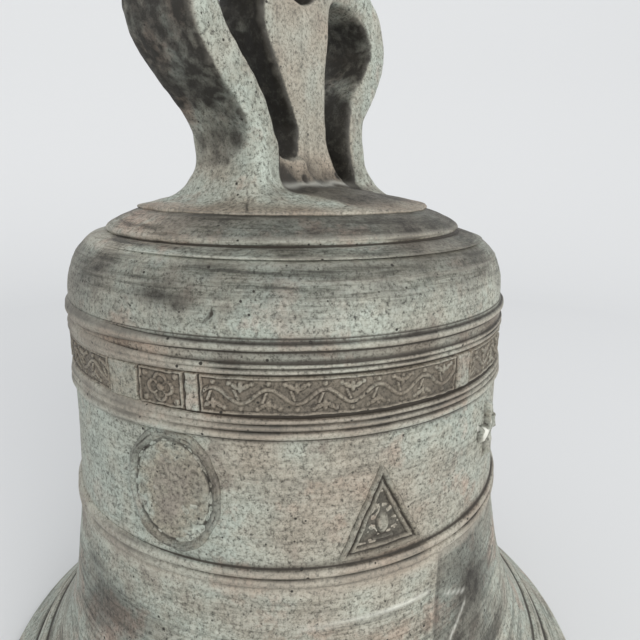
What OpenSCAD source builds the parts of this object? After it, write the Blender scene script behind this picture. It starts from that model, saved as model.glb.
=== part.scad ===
// Small church bell: one bronze casting with a crown of two canons and an argent,
// and an iron clapper hung inside it from a leather baldric.
// The origin is the centre of the mouth on the lip plane, with +Z up.
// X runs along the two canons. The clapper swings about X.

/* [Bell] */
// Outer radius of the mouth
mouth_r = 161; // [155:0.5:168]
// Outer radius that the upper waist tends to
waist_top_r = 99.5; // [98:0.5:101]
// Height over which the flare of the waist fades
flare_len = 46; // [42:1:50]
// Inner radius of the upper waist
bore_top_r = 91; // [89:0.5:92]
// Height of the shoulder rib
shoulder_z = 216; // [215:0.5:217]
// Thickness of the head plate below its top face
head_t = 18; // [16:1:20]

/* [Crown] */
// Height of the top of the argent
crown_top_z = 372; // [370:1:376]
// Radius of the eye through the argent
eye_r = 12; // [9:0.5:12.5]
// Sideways lean of the argent's eye
argent_lean = 8; // [6:0.5:9]
// Thickness of the argent
argent_t = 24; // [22:1:30]
// Width of the near canon
near_canon_w = 36; // [30:1:38]
// Width of the far canon
far_canon_w = 32; // [28:1:36]
// Thickness of both canons
canon_t = 18; // [15:0.5:19]

/* [Reliefs] */
// Height that the stamps and medallions stand proud
relief_t = 1.5; // [1:0.1:2]
// Turn of all the ornament about the bell's axis
ornament_turn = -53; // [-60:1:-40]

/* [Clapper] */
// Height of the staple's crossbar
staple_z = 206; // [205:0.5:208]
// Height of the bar that the clapper hangs by
hanger_z = 160; // [158:0.5:161]
// Radius of the iron bar of the staple and the hanger
iron_r = 6; // [5:0.25:6]
// Gap between the baldric and each bar
baldric_gap = 0.3; // [0.3:0.05:0.6]
// Thickness of the baldric's leather
leather_t = 4; // [3:0.25:4]
// Width of the baldric
leather_w = 24; // [18:1:26]
// Radius of the clapper's ball
ball_r = 21; // [18:0.5:21]
// Height of the ball's centre
ball_z = 34; // [33:0.5:36]

/* [Hidden] */
$fn = 64;

bronze = "#8b9186";
iron = "#5a4a40";
leather = "#5b3a26";

// Lip and sound bow
lip_round = 5;
lip_flat_r = mouth_r - 11;
bow_z = 24;
bow_swell = 19;
bow_fade = 60;
bow_top_z = 62;
// Plain field of the waist, between the two rib groups
field_low_z = 132;
field_high_z = 180;
field_steps = 12;
// Head: the step on the shoulder, the disc on it and the boss under the crown
head_z = shoulder_z + 24;
step_r = 83.5;
shoulder_in_r = 70;
disc_r = 69.5;
boss_r = 57;
boss_z = head_z + head_t;
// Frieze of tiles below the shoulder
frieze_r = 100.5;
frieze_low_z = 189.5;
frieze_high_z = 203;
// Angle of the joint between two tiles
tile_gap = 0.5;
// Crown
eye_z = crown_top_z - 23;
head_half_w = 23;
flank_top_z = crown_top_z - 12;
slab = 0.1;
// Staple and hanger, both bent from the same bar
bend = 8;
staple_half_w = 24;
staple_depth = 12;
hanger_half_w = 22;
hanger_h = 24;
// Baldric's lap
strap_in_r = iron_r + baldric_gap;
strap_out_r = strap_in_r + leather_t;
lap_h = 34;
lap_z = (staple_z + hanger_z) / 2;
plate_t = 3;
plate_w = 22;
bolt_r = 3;
bolt_pitch = 18;
bolt_head = 9;
bolt_head_t = 2.5;
nut_t = 4;
// Clapper
shank_top_z = hanger_z - hanger_h - iron_r - 8;
shank_low_z = ball_z + ball_r - 3;
flight_top_z = ball_z - ball_r + 4;
flight_low_z = 4;

// Outer radius of the waist at height z
function waist_r(z) = waist_top_r + (mouth_r - waist_top_r) * exp(-(z - lip_round) / flare_len);

// Inner radius of the waist at height z
function bore_r(z) = bore_top_r + bow_swell * exp(-(z - bow_z) / bow_fade);

// Points of the waist from one height to another
function run(low, high, steps) =
    [for (i = [0:steps]) let (z = low + (high - low) * i / steps) [waist_r(z), z]];

// Points of a half-round bead that stands on the waist
function bead(z, r) = [for (a = [-75:30:75]) [waist_r(z) + r * cos(a), z + r * sin(a)]];

function arc(cx, cz, rx, rz, a0, a1, steps) =
    [for (i = [0:steps]) let (a = a0 + (a1 - a0) * i / steps) [cx + rx * cos(a), cz + rz * sin(a)]];

// Points of the bore from one height down to another
function bore(high, low, steps) =
    [for (i = [0:steps]) let (z = high - (high - low) * i / steps) [bore_r(z), z]];

module turned(line)
    color(bronze)
    rotate_extrude($fn = 96)
    polygon(line);

// Thick rim that the clapper strikes, with the lip and its three wires
module sound_bow()
    turned(concat(
        arc(mouth_r - lip_round, lip_round, lip_round, lip_round, -90, 0, 4),
        run(8, 16, 2), bead(19, 1.6), bead(25, 1.6), bead(29.5, 1.9), run(34, bow_top_z, 7),
        bore(bow_top_z, bow_z, 4),
        arc(lip_flat_r, bow_z, bore_r(bow_z) - lip_flat_r, -bow_z, 12, 90, 6)));

module waist()
    turned(concat(
        run(bow_top_z, 122, 15), bead(125.3, 1.7), bead(129, 1.7),
        run(field_low_z, field_high_z, field_steps),
        bore(field_high_z, bow_top_z, 6)));

// Top of the bell with the ribs, the band of the frieze and the rounded shoulder
module shoulder()
    turned(concat(
        [[waist_r(field_high_z), field_high_z]],
        bead(182.3, 1.5), bead(185.1, 1.2), bead(187.4, 1),
        [[frieze_r, 188.6], [frieze_r, 203.8]],
        bead(204.9, 0.9), bead(206.9, 0.9), [[waist_r(209), 209]], bead(213.4, 1.4),
        arc(step_r, shoulder_z, 15.6, head_z - shoulder_z, 0, 90, 9),
        arc(shoulder_in_r, head_z - 22, bore_r(head_z - 22) - shoulder_in_r, 22, 90, 0, 6),
        bore(204, field_high_z, 1)));

// Head of the bell: its step, disc and boss, with the two sockets of the staple
module head_plate()
    color(bronze)
    difference() {
        rotate_extrude($fn = 96)
            polygon([[0, head_z], [step_r, head_z], [step_r, head_z + 2.5], [step_r - 1.5, head_z + 5],
                     [step_r - 4, head_z + 7], [disc_r, head_z + 9], [disc_r, head_z + 12],
                     [disc_r - 1, head_z + 12.8], [boss_r, boss_z], [0, boss_z]]);
        for (side = [-1, 1])
            translate([side * staple_half_w, 0, head_z - 1]) cylinder(r = iron_r, h = staple_depth + 1);
    }

// Central pillar of the crown, which leans a little and carries the eye
function argent_line() =
    let (cx = -argent_lean)
    concat(
        [[24, boss_z], [19, 268], [14.5, 278], [10.6, 288], [8.4, 298], [8, 312], [10, 322],
         [cx + head_half_w, 336]],
        arc(cx, flank_top_z, head_half_w, crown_top_z - flank_top_z, 0, 180, 16),
        [[cx - head_half_w, 338], [-34, 330], [-33, 322], [-28, 312], [-19, 300], [-12, 288],
         [-13.5, 278], [-18, 268], [-24, boss_z]]);

module argent()
    color(bronze)
    difference() {
        rotate([90, 0, 0])
            linear_extrude(argent_t, center = true)
            polygon(argent_line());
        translate([-argent_lean, 0, eye_z])
            rotate([90, 0, 0])
            cylinder(r = eye_r, h = argent_t + 2, center = true);
    }

// Centre lines of the canons as [distance from the bell's axis, height].
// Each starts upright on the boss and ends level at the side of the argent.
near_path = [[44, boss_z], [44, 264], [39.5, 273], [42, 286], [50, 298], [63, 310], [70.5, 322],
             [69, 334], [60, 345], [46, 351], [36, 352], [argent_lean + head_half_w, 352]];
far_path = [[45, boss_z], [45, 264], [38, 274], [34.5, 286], [37, 298], [46, 310], [54, 322],
            [54, 333], [47, 343], [34, 350], [20, 352], [head_half_w - argent_lean, 352]];

// Rounded section of a canon, flat sides with well rounded corners
function canon_section(w, t) =
    [for (a = [0:15:345])
        [sign(cos(a)) * pow(abs(cos(a)), 0.6) * t / 2, sign(sin(a)) * pow(abs(sin(a)), 0.6) * w / 2]];

// Thin slab across a canon's centre line at one of its points
module canon_slab(path, i, w, t) {
    last = len(path) - 1;
    along = path[min(i + 1, last)] - path[max(i - 1, 0)];
    foot = i < 2 ? 4 : 0;
    narrow = i > last - 3 ? (i - last + 3) * 3 : 0;
    translate([path[i][0], 0, path[i][1]])
        rotate([0, atan2(along[0], along[1]), 0])
        translate([0, 0, -slab * i / last])
        linear_extrude(slab)
        polygon(canon_section(w - narrow, t + foot));
}

module canon(path, w)
    for (i = [0:len(path) - 2])
        hull() {
            canon_slab(path, i, w, canon_t);
            canon_slab(path, i + 1, w, canon_t);
        }

module near_canon() color(bronze) mirror([1, 0, 0]) canon(near_path, near_canon_w);

module far_canon() color(bronze) canon(far_path, far_canon_w);

// Layer of even thickness that lies on the plain field of the waist
module field_skin(t)
    rotate_extrude($fn = 96)
    polygon(concat(
        run(field_low_z, field_high_z, field_steps),
        [for (i = [field_steps:-1:0])
            let (z = field_low_z + (field_high_z - field_low_z) * i / field_steps)
            [waist_r(z) + t, z]]));

// Flat outline pushed through the waist skin, at an angle from the ornament's zero and twice round
module relief(turn, z, t)
    for (side = [0, 180])
        rotate(ornament_turn + turn + side)
            intersection() {
                field_skin(t);
                translate([0, -90, z])
                    rotate([90, 0, 0])
                    linear_extrude(30)
                    children();
            }

// Sector of the frieze between two angles, standing proud by t
module tile(from, to, t)
    rotate(ornament_turn + from + tile_gap / 2 - 90)
    rotate_extrude(angle = to - from - tile_gap)
    translate([frieze_r, frieze_low_z])
    square([t, frieze_high_z - frieze_low_z]);

// Square stamps, plain blocks and long ornament strips, the same on both halves of the bell.
module frieze_tiles()
    color(bronze)
    for (half = [0, 180]) {
        tile(half - 32.4, half - 21.9, relief_t);
        tile(half - 18.3, half + 37.2, 0.6);
        tile(half + 37.2, half + 42.7, 1.2);
        tile(half + 42.7, half + 138.9, 0.6);
        tile(half + 138.9, half + 147.6, 1.2);
    }

function oval(w, h) = [for (a = [0:10:350]) [w / 2 * cos(a), h / 2 * sin(a)]];

module oval_medallion()
    color(bronze) {
        relief(-26, 156, relief_t) difference() {
            polygon(oval(38, 43));
            polygon(oval(33, 38));
        }
        relief(-26, 156, 0.7) polygon(oval(33, 38));
    }

module triangle_plaquette()
    color(bronze) {
        relief(18, 136, relief_t) difference() {
            polygon([[-14, 0], [14, 0], [0, 29]]);
            polygon([[-10, 2.6], [10, 2.6], [0, 23.4]]);
        }
        relief(18, 136, 0.7) polygon([[-10, 2.6], [10, 2.6], [0, 23.4]]);
    }

// Small cross with flared arms
module cross_relief()
    color(bronze)
    relief(55, 162, relief_t + 1)
    for (quarter = [0:90:270])
        rotate(quarter)
        polygon([[0, 0], [2.2, 2.2], [4, 11], [-4, 11], [-2.2, 2.2]]);

// Quarter bend of the iron bar, in the XZ plane
module bar_corner(x, z, from)
    translate([x, 0, z])
    rotate([90, 0, 0])
    rotate(from)
    rotate_extrude(angle = 90)
    translate([bend, 0])
    circle(iron_r);

module level_bar(half, z)
    translate([-half, 0, z])
    rotate([0, 90, 0])
    cylinder(r = iron_r, h = 2 * half);

// Wrought-iron bar bent to a U, with both legs held in the head
module crown_staple()
    color(iron) {
        level_bar(staple_half_w - bend, staple_z);
        bar_corner(staple_half_w - bend, staple_z + bend, -90);
        bar_corner(bend - staple_half_w, staple_z + bend, 180);
        for (side = [-1, 1])
            translate([side * staple_half_w, 0, staple_z + bend])
            cylinder(r = iron_r, h = head_z + staple_depth - staple_z - bend);
    }

module strap_outline(r)
    union() {
        for (z = [hanger_z, staple_z])
            translate([0, z]) circle(r);
        translate([-r, hanger_z]) square([2 * r, staple_z - hanger_z]);
    }

module bolt_places()
    for (side = [-1, 1])
        translate([0, 0, lap_z + side * bolt_pitch / 2])
        rotate([-90, 0, 0])
        children();

// Leather strap that loops round the staple and the hanger, with its ends lapped and bolted
module baldric_strap()
    color(leather)
    difference() {
        union() {
            translate([-leather_w / 2, 0, 0])
                rotate([90, 0, 90])
                linear_extrude(leather_w)
                difference() {
                    strap_outline(strap_out_r);
                    strap_outline(strap_in_r);
                }
            translate([-leather_w / 2, strap_out_r, lap_z - lap_h / 2])
                cube([leather_w, leather_t, lap_h]);
        }
        bolt_places() cylinder(r = bolt_r, h = 30);
    }

module lap_plate()
    color(iron)
    difference() {
        translate([-plate_w / 2, strap_out_r + leather_t, lap_z - lap_h / 2 + 2])
            cube([plate_w, plate_t, lap_h - 4]);
        bolt_places() cylinder(r = bolt_r, h = 30);
    }

module lap_bolts()
    color(iron)
    bolt_places() {
        translate([-bolt_head / 2, -bolt_head / 2, strap_in_r - bolt_head_t])
            cube([bolt_head, bolt_head, bolt_head_t]);
        translate([0, 0, strap_in_r])
            cylinder(r = bolt_r, h = 2 * leather_t + plate_t + nut_t + 1.5);
    }

module lap_nuts()
    color(iron)
    bolt_places()
    translate([0, 0, strap_out_r + leather_t + plate_t])
    difference() {
        translate([-bolt_head / 2, -bolt_head / 2, 0]) cube([bolt_head, bolt_head, nut_t]);
        translate([0, 0, -1]) cylinder(r = bolt_r, h = nut_t + 2);
    }

// Forged eye at the top of the clapper, a closed link with a neck below
module hanger_eye()
    color(iron) {
        low = hanger_z - hanger_h;
        inner = hanger_half_w - bend;
        level_bar(inner, hanger_z);
        level_bar(inner, low);
        bar_corner(inner, hanger_z - bend, 0);
        bar_corner(-inner, hanger_z - bend, 90);
        bar_corner(-inner, low + bend, 180);
        bar_corner(inner, low + bend, 270);
        for (side = [-1, 1])
            translate([side * hanger_half_w, 0, low + bend])
            cylinder(r = iron_r, h = hanger_h - 2 * bend);
        translate([0, 0, shank_top_z])
            cylinder(r1 = 7, r2 = 9, h = low - shank_top_z);
    }

module clapper_shank()
    color(iron)
    translate([0, 0, shank_low_z])
    cylinder(r1 = 9, r2 = 7, h = shank_top_z - shank_low_z);

module clapper_ball()
    color(iron)
    intersection() {
        translate([0, 0, ball_z]) sphere(ball_r);
        translate([-ball_r, -ball_r, flight_top_z])
            cube([2 * ball_r, 2 * ball_r, shank_low_z - flight_top_z]);
    }

// Short tail below the ball, which ends above the lip plane
module clapper_flight()
    color(iron)
    rotate_extrude()
    polygon([[0, flight_low_z], [7.5, flight_low_z], [9, flight_low_z + 2], [9, flight_low_z + 5],
             [7.5, flight_top_z], [0, flight_top_z]]);

sound_bow();
waist();
shoulder();
head_plate();
argent();
near_canon();
far_canon();
frieze_tiles();
oval_medallion();
triangle_plaquette();
cross_relief();
crown_staple();
baldric_strap();
lap_plate();
lap_bolts();
lap_nuts();
hanger_eye();
clapper_shank();
clapper_ball();
clapper_flight();
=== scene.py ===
"""Looks of a small bronze church bell: cast wall, ornament, crown, clapper and its leather baldric."""

import math

import bmesh
import bpy
import numpy as np
from mathutils import Matrix, Vector


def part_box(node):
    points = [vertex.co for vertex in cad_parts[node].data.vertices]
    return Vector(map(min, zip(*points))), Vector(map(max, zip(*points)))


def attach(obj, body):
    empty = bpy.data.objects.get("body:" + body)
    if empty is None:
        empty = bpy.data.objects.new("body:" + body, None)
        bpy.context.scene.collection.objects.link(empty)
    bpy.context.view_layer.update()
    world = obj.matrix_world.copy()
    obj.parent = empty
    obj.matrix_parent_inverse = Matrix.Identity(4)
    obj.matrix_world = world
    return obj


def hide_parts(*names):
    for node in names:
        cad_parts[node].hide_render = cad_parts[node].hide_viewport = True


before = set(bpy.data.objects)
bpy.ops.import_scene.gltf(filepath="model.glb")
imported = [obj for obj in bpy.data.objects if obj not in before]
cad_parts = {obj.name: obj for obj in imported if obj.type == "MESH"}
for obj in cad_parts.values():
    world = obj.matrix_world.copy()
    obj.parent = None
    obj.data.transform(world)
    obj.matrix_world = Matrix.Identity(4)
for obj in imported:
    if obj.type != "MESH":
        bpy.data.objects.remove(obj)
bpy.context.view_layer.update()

MM = 0.001
BELL, BALDRIC, CLAPPER = "bell", "baldric", "clapper"

# ---------------------------------------------------------------- sizes, in mm, as the frame has them


def node_box(name):
    low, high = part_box(name)
    return np.array(low) / MM, np.array(high) / MM


MOUTH_R = node_box("sound_bow")[1][0]
HEAD_Z = node_box("shoulder")[1][2]
CROWN_TOP_Z = node_box("argent")[1][2]
SHOULDER_Z = HEAD_Z - 24
WAIST_TOP_R = 99.5
FLARE_LEN = 46
LIP_ROUND = 5
LIP_FLAT_R = MOUTH_R - 11
BORE_TOP_R = 91
BOW_Z = 24
BOW_SWELL = 19
BOW_FADE = 60
DISC_R = 69.5
ORNAMENT_TURN = -53
STAPLE_Z = node_box("crown_staple")[0][2] + 6
HANGER_Z = node_box("hanger_eye")[1][2] - 6
BALL_R = 21
BALL_Z = 34

# ---------------------------------------------------------------- camera, light and floor

VIEW_AZIMUTH = -53
VIEW_DISTANCE = 0.260
VIEW_HEIGHT = 0.267
VIEW_DOWN = 15.46
VIEW_TURN = 3.09
VIEW_ROLL = 0.43
VIEW_LENS = 29.25


def turned(azimuth):
    """Direction from the bell's axis towards an azimuth, where 0 is -Y."""
    a = math.radians(azimuth)
    return Vector((math.sin(a), -math.cos(a), 0))


def place_camera():
    camera = bpy.data.objects.new("camera", bpy.data.cameras.new("camera"))
    bpy.context.scene.collection.objects.link(camera)
    spin = Matrix.Rotation(math.radians(VIEW_AZIMUTH - VIEW_TURN), 4, "Z")
    tilt = Matrix.Rotation(math.radians(90 - VIEW_DOWN), 4, "X")
    roll = Matrix.Rotation(math.radians(VIEW_ROLL), 4, "Z")
    at = turned(VIEW_AZIMUTH) * VIEW_DISTANCE + Vector((0, 0, VIEW_HEIGHT))
    camera.matrix_world = Matrix.Translation(at) @ spin @ tilt @ roll
    camera.data.sensor_width = 36
    camera.data.lens = VIEW_LENS
    camera.data.clip_start = 0.01
    bpy.context.scene.camera = camera


# The soft box: its turn from the view, and its distance, height and width in metres
BOX_TURN, BOX_DISTANCE, BOX_HEIGHT, BOX_WIDTH = 30, 3.0, 1.3, 1.7
BOX_WATTS = 61
WAIST_M = 0.2


def light_studio():
    """One big square soft box to the right of the view, and even light from all round."""
    world = bpy.data.worlds.new("studio")
    bpy.context.scene.world = world
    world.use_nodes = True
    sky = world.node_tree.nodes["Background"]
    sky.inputs["Color"].default_value = (0.72, 0.73, 0.74, 1)
    sky.inputs["Strength"].default_value = 1.16
    light = bpy.data.lights.new("window", "AREA")
    light.size = BOX_WIDTH
    light.energy = BOX_WATTS
    light.color = (1, 0.985, 0.96)
    lamp = bpy.data.objects.new("window", light)
    lamp.location = turned(VIEW_AZIMUTH + BOX_TURN) * BOX_DISTANCE + Vector((0, 0, BOX_HEIGHT))
    lamp.rotation_euler = (Vector((0, 0, WAIST_M)) - lamp.location).to_track_quat("-Z", "Y").to_euler()
    bpy.context.scene.collection.objects.link(lamp)
    bpy.context.scene.view_settings.view_transform = "Standard"


# ---------------------------------------------------------------- noise and mesh helpers


def lattice(ix, iy, iz, seed):
    """A repeatable number from -1 to 1 for each whole-number point."""
    h = (ix * 374761393 + iy * 668265263 + iz * 2147483647 + seed * 974634777) & 0xFFFFFFFF
    h = ((h ^ (h >> 13)) * 1274126177) & 0xFFFFFFFF
    h = h ^ (h >> 16)
    return (h & 0xFFFFFF) / float(0x7FFFFF) - 1


def noise(points, size, seed=0):
    """Smooth noise from -1 to 1 with bumps of about size, which is a number or one per axis."""
    p = np.asarray(points, float) / np.asarray(size, float)
    base = np.floor(p)
    f = p - base
    f = f * f * (3 - 2 * f)
    i = base.astype(np.int64)
    total = 0
    for cx in (0, 1):
        wx = f[..., 0] if cx else 1 - f[..., 0]
        for cy in (0, 1):
            wy = f[..., 1] if cy else 1 - f[..., 1]
            for cz in (0, 1):
                wz = f[..., 2] if cz else 1 - f[..., 2]
                total = total + wx * wy * wz * lattice(i[..., 0] + cx, i[..., 1] + cy, i[..., 2] + cz, seed)
    return total


def rough(points, size, octaves=3, seed=0):
    """Noise with finer noise on it, each octave half as large."""
    size = np.asarray(size, float)
    total = 0
    for k in range(octaves):
        total = total + noise(points, size / 2**k, seed + 17 * k) / 2**k
    return total


def make_mesh(name, points, faces, material):
    """A smooth-shaded object from points in mm and faces with the same number of corners each."""
    mesh = bpy.data.meshes.new(name)
    faces = np.asarray(faces, np.int32)
    count, corners = faces.shape
    mesh.vertices.add(len(points))
    mesh.vertices.foreach_set("co", (np.asarray(points) * MM).astype(np.float32).ravel())
    mesh.loops.add(count * corners)
    mesh.loops.foreach_set("vertex_index", faces.ravel())
    mesh.polygons.add(count)
    mesh.polygons.foreach_set("loop_start", np.arange(count, dtype=np.int32) * corners)
    mesh.polygons.foreach_set("use_smooth", np.ones(count, bool))
    mesh.update(calc_edges=True)
    mesh.validate()
    mesh.materials.append(material)
    piece = bpy.data.objects.new(name, mesh)
    bpy.context.scene.collection.objects.link(piece)
    return piece


def grid_faces(rows, columns, around=True, closed=False):
    """Quads of a grid of points. The columns go round, and the rows may close on themselves."""
    row_ids = np.arange(rows if closed else rows - 1)
    column_ids = np.arange(columns if around else columns - 1)
    r, c = np.meshgrid(row_ids, column_ids, indexing="ij")
    r1, c1 = (r + 1) % rows, (c + 1) % columns
    quads = [r * columns + c, r * columns + c1, r1 * columns + c1, r1 * columns + c]
    return np.stack([q.ravel() for q in quads], 1)


def neighbour_mean(values, faces):
    """Mean of each point's neighbours along the faces' edges."""
    total = np.zeros_like(values)
    count = np.zeros(len(values))
    corners = faces.shape[1]
    for k in range(corners):
        a, b = faces[:, k], faces[:, (k + 1) % corners]
        for one, other in ((a, b), (b, a)):
            count += np.bincount(one, minlength=len(values))
            for axis in range(values.shape[1]):
                total[:, axis] += np.bincount(one, values[other, axis], minlength=len(values))
    return total / np.maximum(count, 1)[:, None]


def normals(points, faces):
    """Outward direction at each point of quads."""
    across = points[faces[:, 2]] - points[faces[:, 0]]
    along = points[faces[:, -1]] - points[faces[:, 1]]
    cross = np.cross(across, along)
    total = np.zeros_like(points)
    for k in range(faces.shape[1]):
        for axis in range(3):
            total[:, axis] += np.bincount(faces[:, k], cross[:, axis], minlength=len(points))
    return total / np.maximum(np.linalg.norm(total, axis=1), 1e-9)[:, None]


def mark_hollows(piece, points, faces, steps, depth, marked=True):
    """Stores how far each marked point lies below its surroundings, from 0 on a ridge to 1 at depth in mm."""
    smooth = points
    for _ in range(steps):
        smooth = neighbour_mean(smooth, faces)
    sunk = np.einsum("ij,ij->i", smooth - points, normals(points, faces))
    level = np.where(marked, np.clip(0.5 + 0.5 * sunk / depth, 0, 1), 0.5)
    piece.data.attributes.new("hollow", "FLOAT", "POINT").data.foreach_set("value", level.astype(np.float32))


def surface_of(field, low, step):
    """Points and quads of the surface where a sampled field changes sign, negative inside."""
    inside = field < 0
    shape = np.array(field.shape)
    cells = shape - 1
    total = np.zeros((np.prod(cells), 3))
    count = np.zeros(np.prod(cells))
    crossings = []
    for axis in range(3):
        first = [slice(None)] * 3
        second = [slice(None)] * 3
        first[axis] = slice(0, -1)
        second[axis] = slice(1, None)
        f0, f1 = field[tuple(first)], field[tuple(second)]
        at = np.argwhere(inside[tuple(first)] != inside[tuple(second)])
        v0, v1 = f0[tuple(at.T)], f1[tuple(at.T)]
        where = at.astype(float)
        where[:, axis] += v0 / (v0 - v1)
        u, v = (axis + 1) % 3, (axis + 2) % 3
        around = []
        for du, dv in ((0, 0), (1, 0), (1, 1), (0, 1)):
            cell = at.copy()
            cell[:, u] -= du
            cell[:, v] -= dv
            flat = (cell[:, 0] * cells[1] + cell[:, 1]) * cells[2] + cell[:, 2]
            around.append(flat)
            count += np.bincount(flat, minlength=len(count))
            for k in range(3):
                total[:, k] += np.bincount(flat, where[:, k], minlength=len(count))
        around = np.stack(around, 1)
        outward = v0 < 0
        crossings.append(np.where(outward[:, None], around, around[:, ::-1]))
    used = count > 0
    ids = np.cumsum(used) - 1
    points = np.asarray(low) + step * total[used] / count[used][:, None]
    return points, ids[np.concatenate(crossings)]


def sample_grid(low, high, step):
    """Arrays of x, y and z on a regular grid."""
    axes = [np.arange(a, b + step, step) for a, b in zip(low, high)]
    return np.meshgrid(*axes, indexing="ij")


def blend_min(a, b, width):
    """Union of two fields with a fillet of about that width."""
    h = np.clip(0.5 + 0.5 * (b - a) / width, 0, 1)
    return b + (a - b) * h - width * h * (1 - h)


def smooth_step(low, high, x):
    """0 up to low, 1 from high on, and a soft rise between them."""
    t = np.clip((x - low) / (high - low), 0, 1)
    return t * t * (3 - 2 * t)


# ---------------------------------------------------------------- materials


def linear(hex_colour):
    """An sRGB hex colour as linear RGBA."""
    parts = [int(hex_colour[i:i + 2], 16) / 255 for i in (1, 3, 5)]
    return (*[p / 12.92 if p <= 0.04045 else ((p + 0.055) / 1.055) ** 2.4 for p in parts], 1)


def add(tree, kind, inputs=None, stops=(), **settings):
    """Adds a node with its settings. An input is a value, a hex colour or another node's output, and the
    stops of a colour scale are places in rising order, each with a hex colour."""
    made = tree.nodes.new(kind)
    for key, value in settings.items():
        setattr(made, key, value)
    for key, value in (inputs or {}).items():
        socket = made.inputs[key]
        if isinstance(value, bpy.types.NodeSocket):
            tree.links.new(value, socket)
        else:
            socket.default_value = linear(value) if isinstance(value, str) else value
    for number, (place, colour) in enumerate(stops):
        scale = made.color_ramp.elements
        stop = scale[number] if number < len(scale) else scale.new(place)
        stop.position = place
        stop.color = linear(colour)
    return made


def new_material(name):
    material = bpy.data.materials.new(name)
    material.use_nodes = True
    tree = material.node_tree
    tree.nodes.clear()
    return material, tree


def per_mm(size):
    """Texture scale that gives features of a size in mm, for coordinates in metres."""
    return 1 / (size * MM)


# Sizes of the bronze's patterns in mm: clouds of colour, mottle of the mineral crust, sand grain of the
# mould, turning lines of the strickle board and casting pits
CLOUD_MM, MOTTLE_MM, GRAIN_MM, RING_MM, PIT_MM = 30, 5, 1.5, 2.0, 2.8
# Patches of rust and hammer scale on the iron, and cloudy tone and pebble grain on the leather, in mm
RUST_MM, SCALE_MM, TONE_MM, PEBBLE_MM = 9, 2, 14, 1.1


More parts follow.
